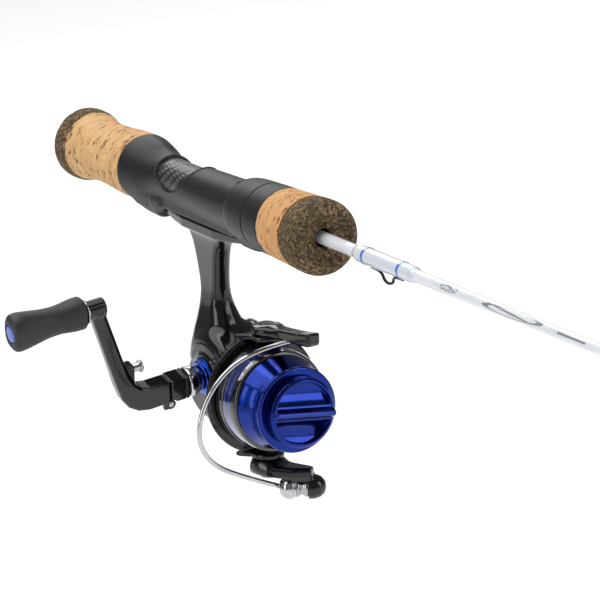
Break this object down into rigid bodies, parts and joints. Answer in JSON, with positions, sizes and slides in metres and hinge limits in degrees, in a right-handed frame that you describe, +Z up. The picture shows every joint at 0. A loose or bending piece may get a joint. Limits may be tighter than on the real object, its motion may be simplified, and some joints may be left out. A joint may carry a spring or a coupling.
{
  "type": "ice fishing rod",
  "caption": "Short one-piece ice fishing rod with cork grips, a screw-down reel seat and a folding-crank spinning reel mounted under it.",
  "frame": {"origin": "centre of the flat butt end, on the rod axis", "axes": "+X along the rod to its tip, +Z up, the reel hangs below on -Z and its crank is on the -Y side"},
  "size_m": [0.7103, 0.1088, 0.1221],
  "materials": {
    "burl_cork": "speckled rubber cork, rough",
    "cork": "natural cork, sanded",
    "soft_black": "soft-touch matte",
    "carbon_weave": "woven twill look, satin",
    "white_gloss": "gloss paint over glass fibre",
    "white_epoxy": "clear epoxy over white thread",
    "trim_blue": "epoxied metallic thread",
    "black_wire": "gloss black plated steel",
    "ceramic_ring": "polished dark ceramic",
    "gloss_black": "piano black",
    "steel": "machined",
    "anodised_blue": "bright blue anodised",
    "blue_plastic": "satin moulded",
    "chrome": "polished",
    "zinc_gear": "die cast zinc",
    "brass": "machined",
    "felt": "pressed felt",
    "soft_rubber": "matte moulded rubber"
  },
  "bodies": {
    "root": {"rod_blank": "white_gloss", "butt_cap": "burl_cork", "rear_cork_ring_1": "cork", "rear_cork_ring_2": "cork", "reel_seat": "soft_black", "window_insert": "carbon_weave", "seat_barrel": "soft_black", "keeper_wrap": "white_epoxy", "hook_keeper": "black_wire", "guide_frame_1": "black_wire", "guide_frame_2": "black_wire", "guide_frame_3": "black_wire", "guide_frame_4": "black_wire", "guide_rings": "ceramic_ring", "guide_wraps": "white_epoxy", "wrap_trims": "trim_blue", "tip_top_frame": "black_wire", "tip_top_ring": "ceramic_ring", "reel_body": "gloss_black", "side_cover": "gloss_black", "cover_screws": "steel", "handle_boss_ring": "anodised_blue", "dust_cap": "anodised_blue", "front_bearing": "steel", "crank_bearings": "steel", "oscillation_axle": "steel"},
    "moving_hood": {"moving_hood": "soft_black"},
    "fore_grip": {"foregrip_nut": "soft_black", "fore_cork_ring": "cork", "fore_burl_ring": "burl_cork"},
    "crank": {"drive_shaft": "steel", "drive_gear": "zinc_gear", "oscillation_pinion": "brass", "crank_collar": "chrome", "crank_base": "gloss_black"},
    "crank_arm": {"crank_arm": "gloss_black", "fold_pin": "steel", "knob_shaft": "steel", "knob_collar": "chrome"},
    "knob": {"knob_grip": "soft_rubber", "knob_cap": "blue_plastic"},
    "fold_button": {"fold_button": "chrome"},
    "oscillation_wheel": {"oscillation_gear": "zinc_gear"},
    "rotor": {"rotor": "gloss_black", "rotor_nut": "brass", "pinion_gear": "brass", "bail_pivot_screws": "black_wire"},
    "bail": {"bail_wire": "chrome", "bail_lever": "gloss_black", "bail_arm": "gloss_black", "roller_pin": "steel"},
    "line_roller": {"line_roller": "chrome"},
    "spool_shaft": {"main_shaft": "steel", "oscillation_slider": "zinc_gear"},
    "spool": {"spool_skirt": "gloss_black", "spool_arbor": "anodised_blue", "drag_felts": "felt", "drag_washers": "steel"},
    "drag_knob": {"drag_knob": "anodised_blue"},
    "anti_reverse_lever": {"anti_reverse_lever": "blue_plastic"}
  },
  "joints": [
    {"name": "hood_slide", "type": "slide", "parent": "root", "child": "moving_hood", "axis": [1, 0, 0], "range_m": [0, 0.009]},
    {"name": "nut_turn", "type": "hinge", "parent": "moving_hood", "child": "fore_grip", "pos_m": [0.15, 0, 0], "axis": [1, 0, 0], "range_deg": [0, 2160]},
    {"name": "crank_turn", "type": "hinge", "parent": "root", "child": "crank", "pos_m": [0.1, 0, -0.0654], "axis": [0, 1, 0], "continuous": true},
    {"name": "crank_fold", "type": "hinge", "parent": "crank", "child": "crank_arm", "pos_m": [0.09857, -0.02775, -0.0704], "axis": [0.9613, 0, -0.2756], "range_deg": [0, 90]},
    {"name": "knob_spin", "type": "hinge", "parent": "crank_arm", "child": "knob", "pos_m": [0.11158, -0.073, -0.02503], "axis": [0, 1, 0], "continuous": true},
    {"name": "fold_button_press", "type": "slide", "parent": "crank_arm", "child": "fold_button", "axis": [0, -1, 0], "range_m": [0, 0.0012], "stiffness_N_per_m": 300, "springref_m": -0.001},
    {"name": "oscillation_spin", "type": "hinge", "parent": "root", "child": "oscillation_wheel", "pos_m": [0.0895, -0.005, -0.07389], "axis": [0, 1, 0], "continuous": true},
    {"name": "rotor_spin", "type": "hinge", "parent": "root", "child": "rotor", "pos_m": [0.12, 0, -0.071], "axis": [1, 0, 0], "continuous": true},
    {"name": "bail_open", "type": "hinge", "parent": "rotor", "child": "bail", "pos_m": [0.1223, 0, -0.071], "axis": [0, 0.1478, 0.989], "range_deg": [0, 110]},
    {"name": "roller_spin", "type": "hinge", "parent": "bail", "child": "line_roller", "pos_m": [0.1298, -0.00315, -0.10289], "axis": [0.4478, 0.8843, -0.1322], "continuous": true},
    {"name": "spool_stroke", "type": "slide", "parent": "root", "child": "spool_shaft", "axis": [1, 0, 0], "range_m": [0, 0.004]},
    {"name": "spool_drag", "type": "hinge", "parent": "spool_shaft", "child": "spool", "pos_m": [0.14, 0, -0.071], "axis": [1, 0, 0], "continuous": true},
    {"name": "drag_knob_turn", "type": "hinge", "parent": "spool_shaft", "child": "drag_knob", "pos_m": [0.148, 0, -0.071], "axis": [1, 0, 0], "range_deg": [-180, 360]},
    {"name": "anti_reverse_flip", "type": "hinge", "parent": "root", "child": "anti_reverse_lever", "pos_m": [0.095, 0, -0.0882], "axis": [1, 0, 0], "range_deg": [0, 22]}
  ],
  "couplings": [
    {"joint": "hood_slide", "follows": "nut_turn", "m_per_rad": 0.0002387},
    {"joint": "rotor_spin", "follows": "crank_turn", "ratio": -5},
    {"joint": "oscillation_spin", "follows": "crank_turn", "ratio": -0.5}
  ]
}
